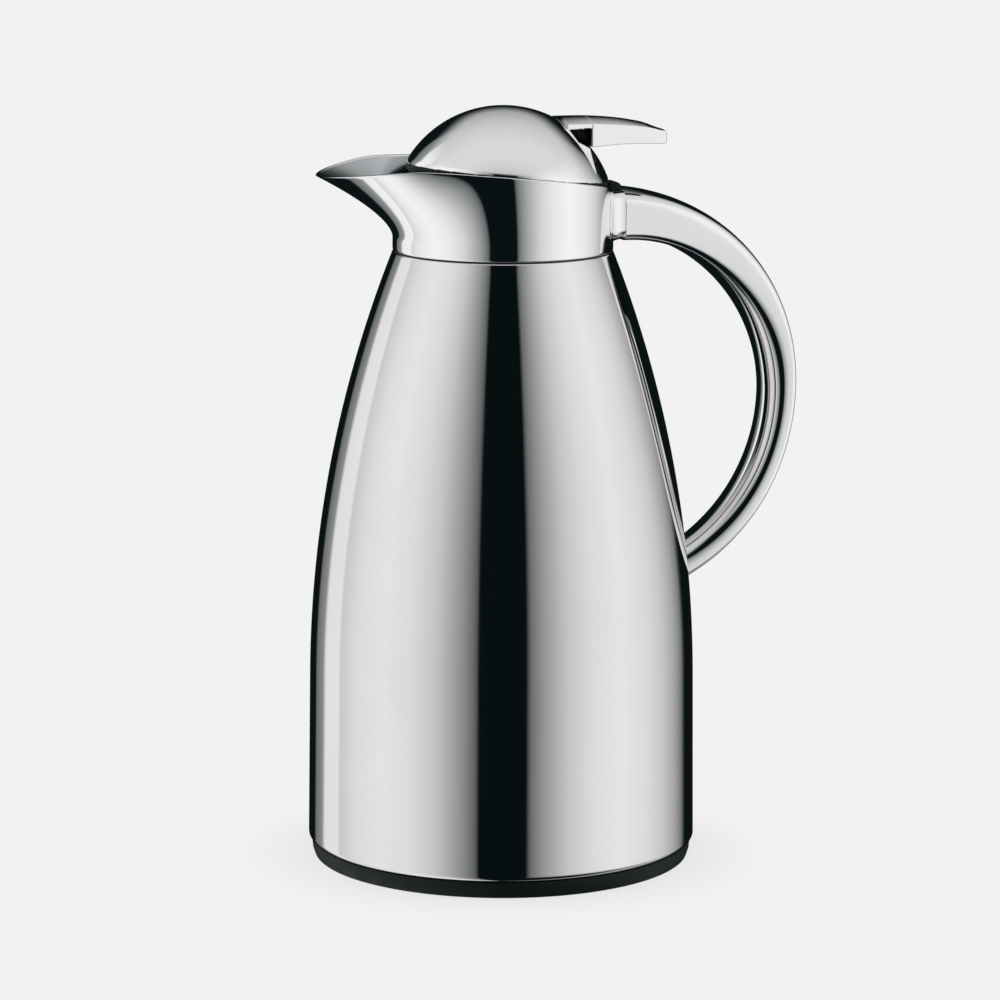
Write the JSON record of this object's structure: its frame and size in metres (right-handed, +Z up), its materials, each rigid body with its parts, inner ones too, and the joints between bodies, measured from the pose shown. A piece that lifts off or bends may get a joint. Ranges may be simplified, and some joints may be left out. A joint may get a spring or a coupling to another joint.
{
  "type": "thermal carafe",
  "caption": "Polished steel thermal carafe with a chromed pouring collar, strap handle and sprung dome lid with a thumb lever, over a glass vacuum flask.",
  "frame": {"origin": "on the body's axis at the underside of the foot ring", "axes": "+Z up along the body, -X towards the spout, +X towards the handle"},
  "size_m": [0.1778, 0.138, 0.2679],
  "materials": {
    "polished_steel": "mirror polished stainless steel",
    "chrome": "bright chrome plate",
    "black_plastic": "fine moulded, satin",
    "dark_rubber": "matte",
    "silicone": "matte silicone",
    "silvered_glass": "silvered inside its double wall",
    "foam": "rigid foam",
    "steel": "bright zinc plated"
  },
  "bodies": {
    "carafe": {"body_shell": "polished_steel", "foot_ring": "black_plastic", "base_cover": "black_plastic", "flask_cushion": "silicone", "flask_outer": "silvered_glass", "flask_inner": "silvered_glass", "mouth_seal": "silicone", "pour_insert": "black_plastic", "neck_nut": "black_plastic", "collar_gasket": "dark_rubber", "collar": "chrome", "handle": "chrome", "root_screws": "steel", "foot_screw": "steel", "foot_pad": "dark_rubber", "hinge_pin": "steel", "return_spring": "steel"},
    "lid": {"lid_dome": "chrome", "lid_plate": "black_plastic", "stopper": "black_plastic", "stopper_seal": "silicone", "stopper_foam": "foam", "thumb_lever": "chrome", "lever_screws": "steel"}
  },
  "joints": [
    {"name": "lid_hinge", "type": "hinge", "parent": "carafe", "child": "lid", "pos_m": [0.03795, 0, 0.2382], "axis": [0, 1, 0], "range_deg": [0, 42], "stiffness_Nm_per_rad": 0.06, "springref_deg": -34.38, "deforming": ["return_spring"]}
  ]
}
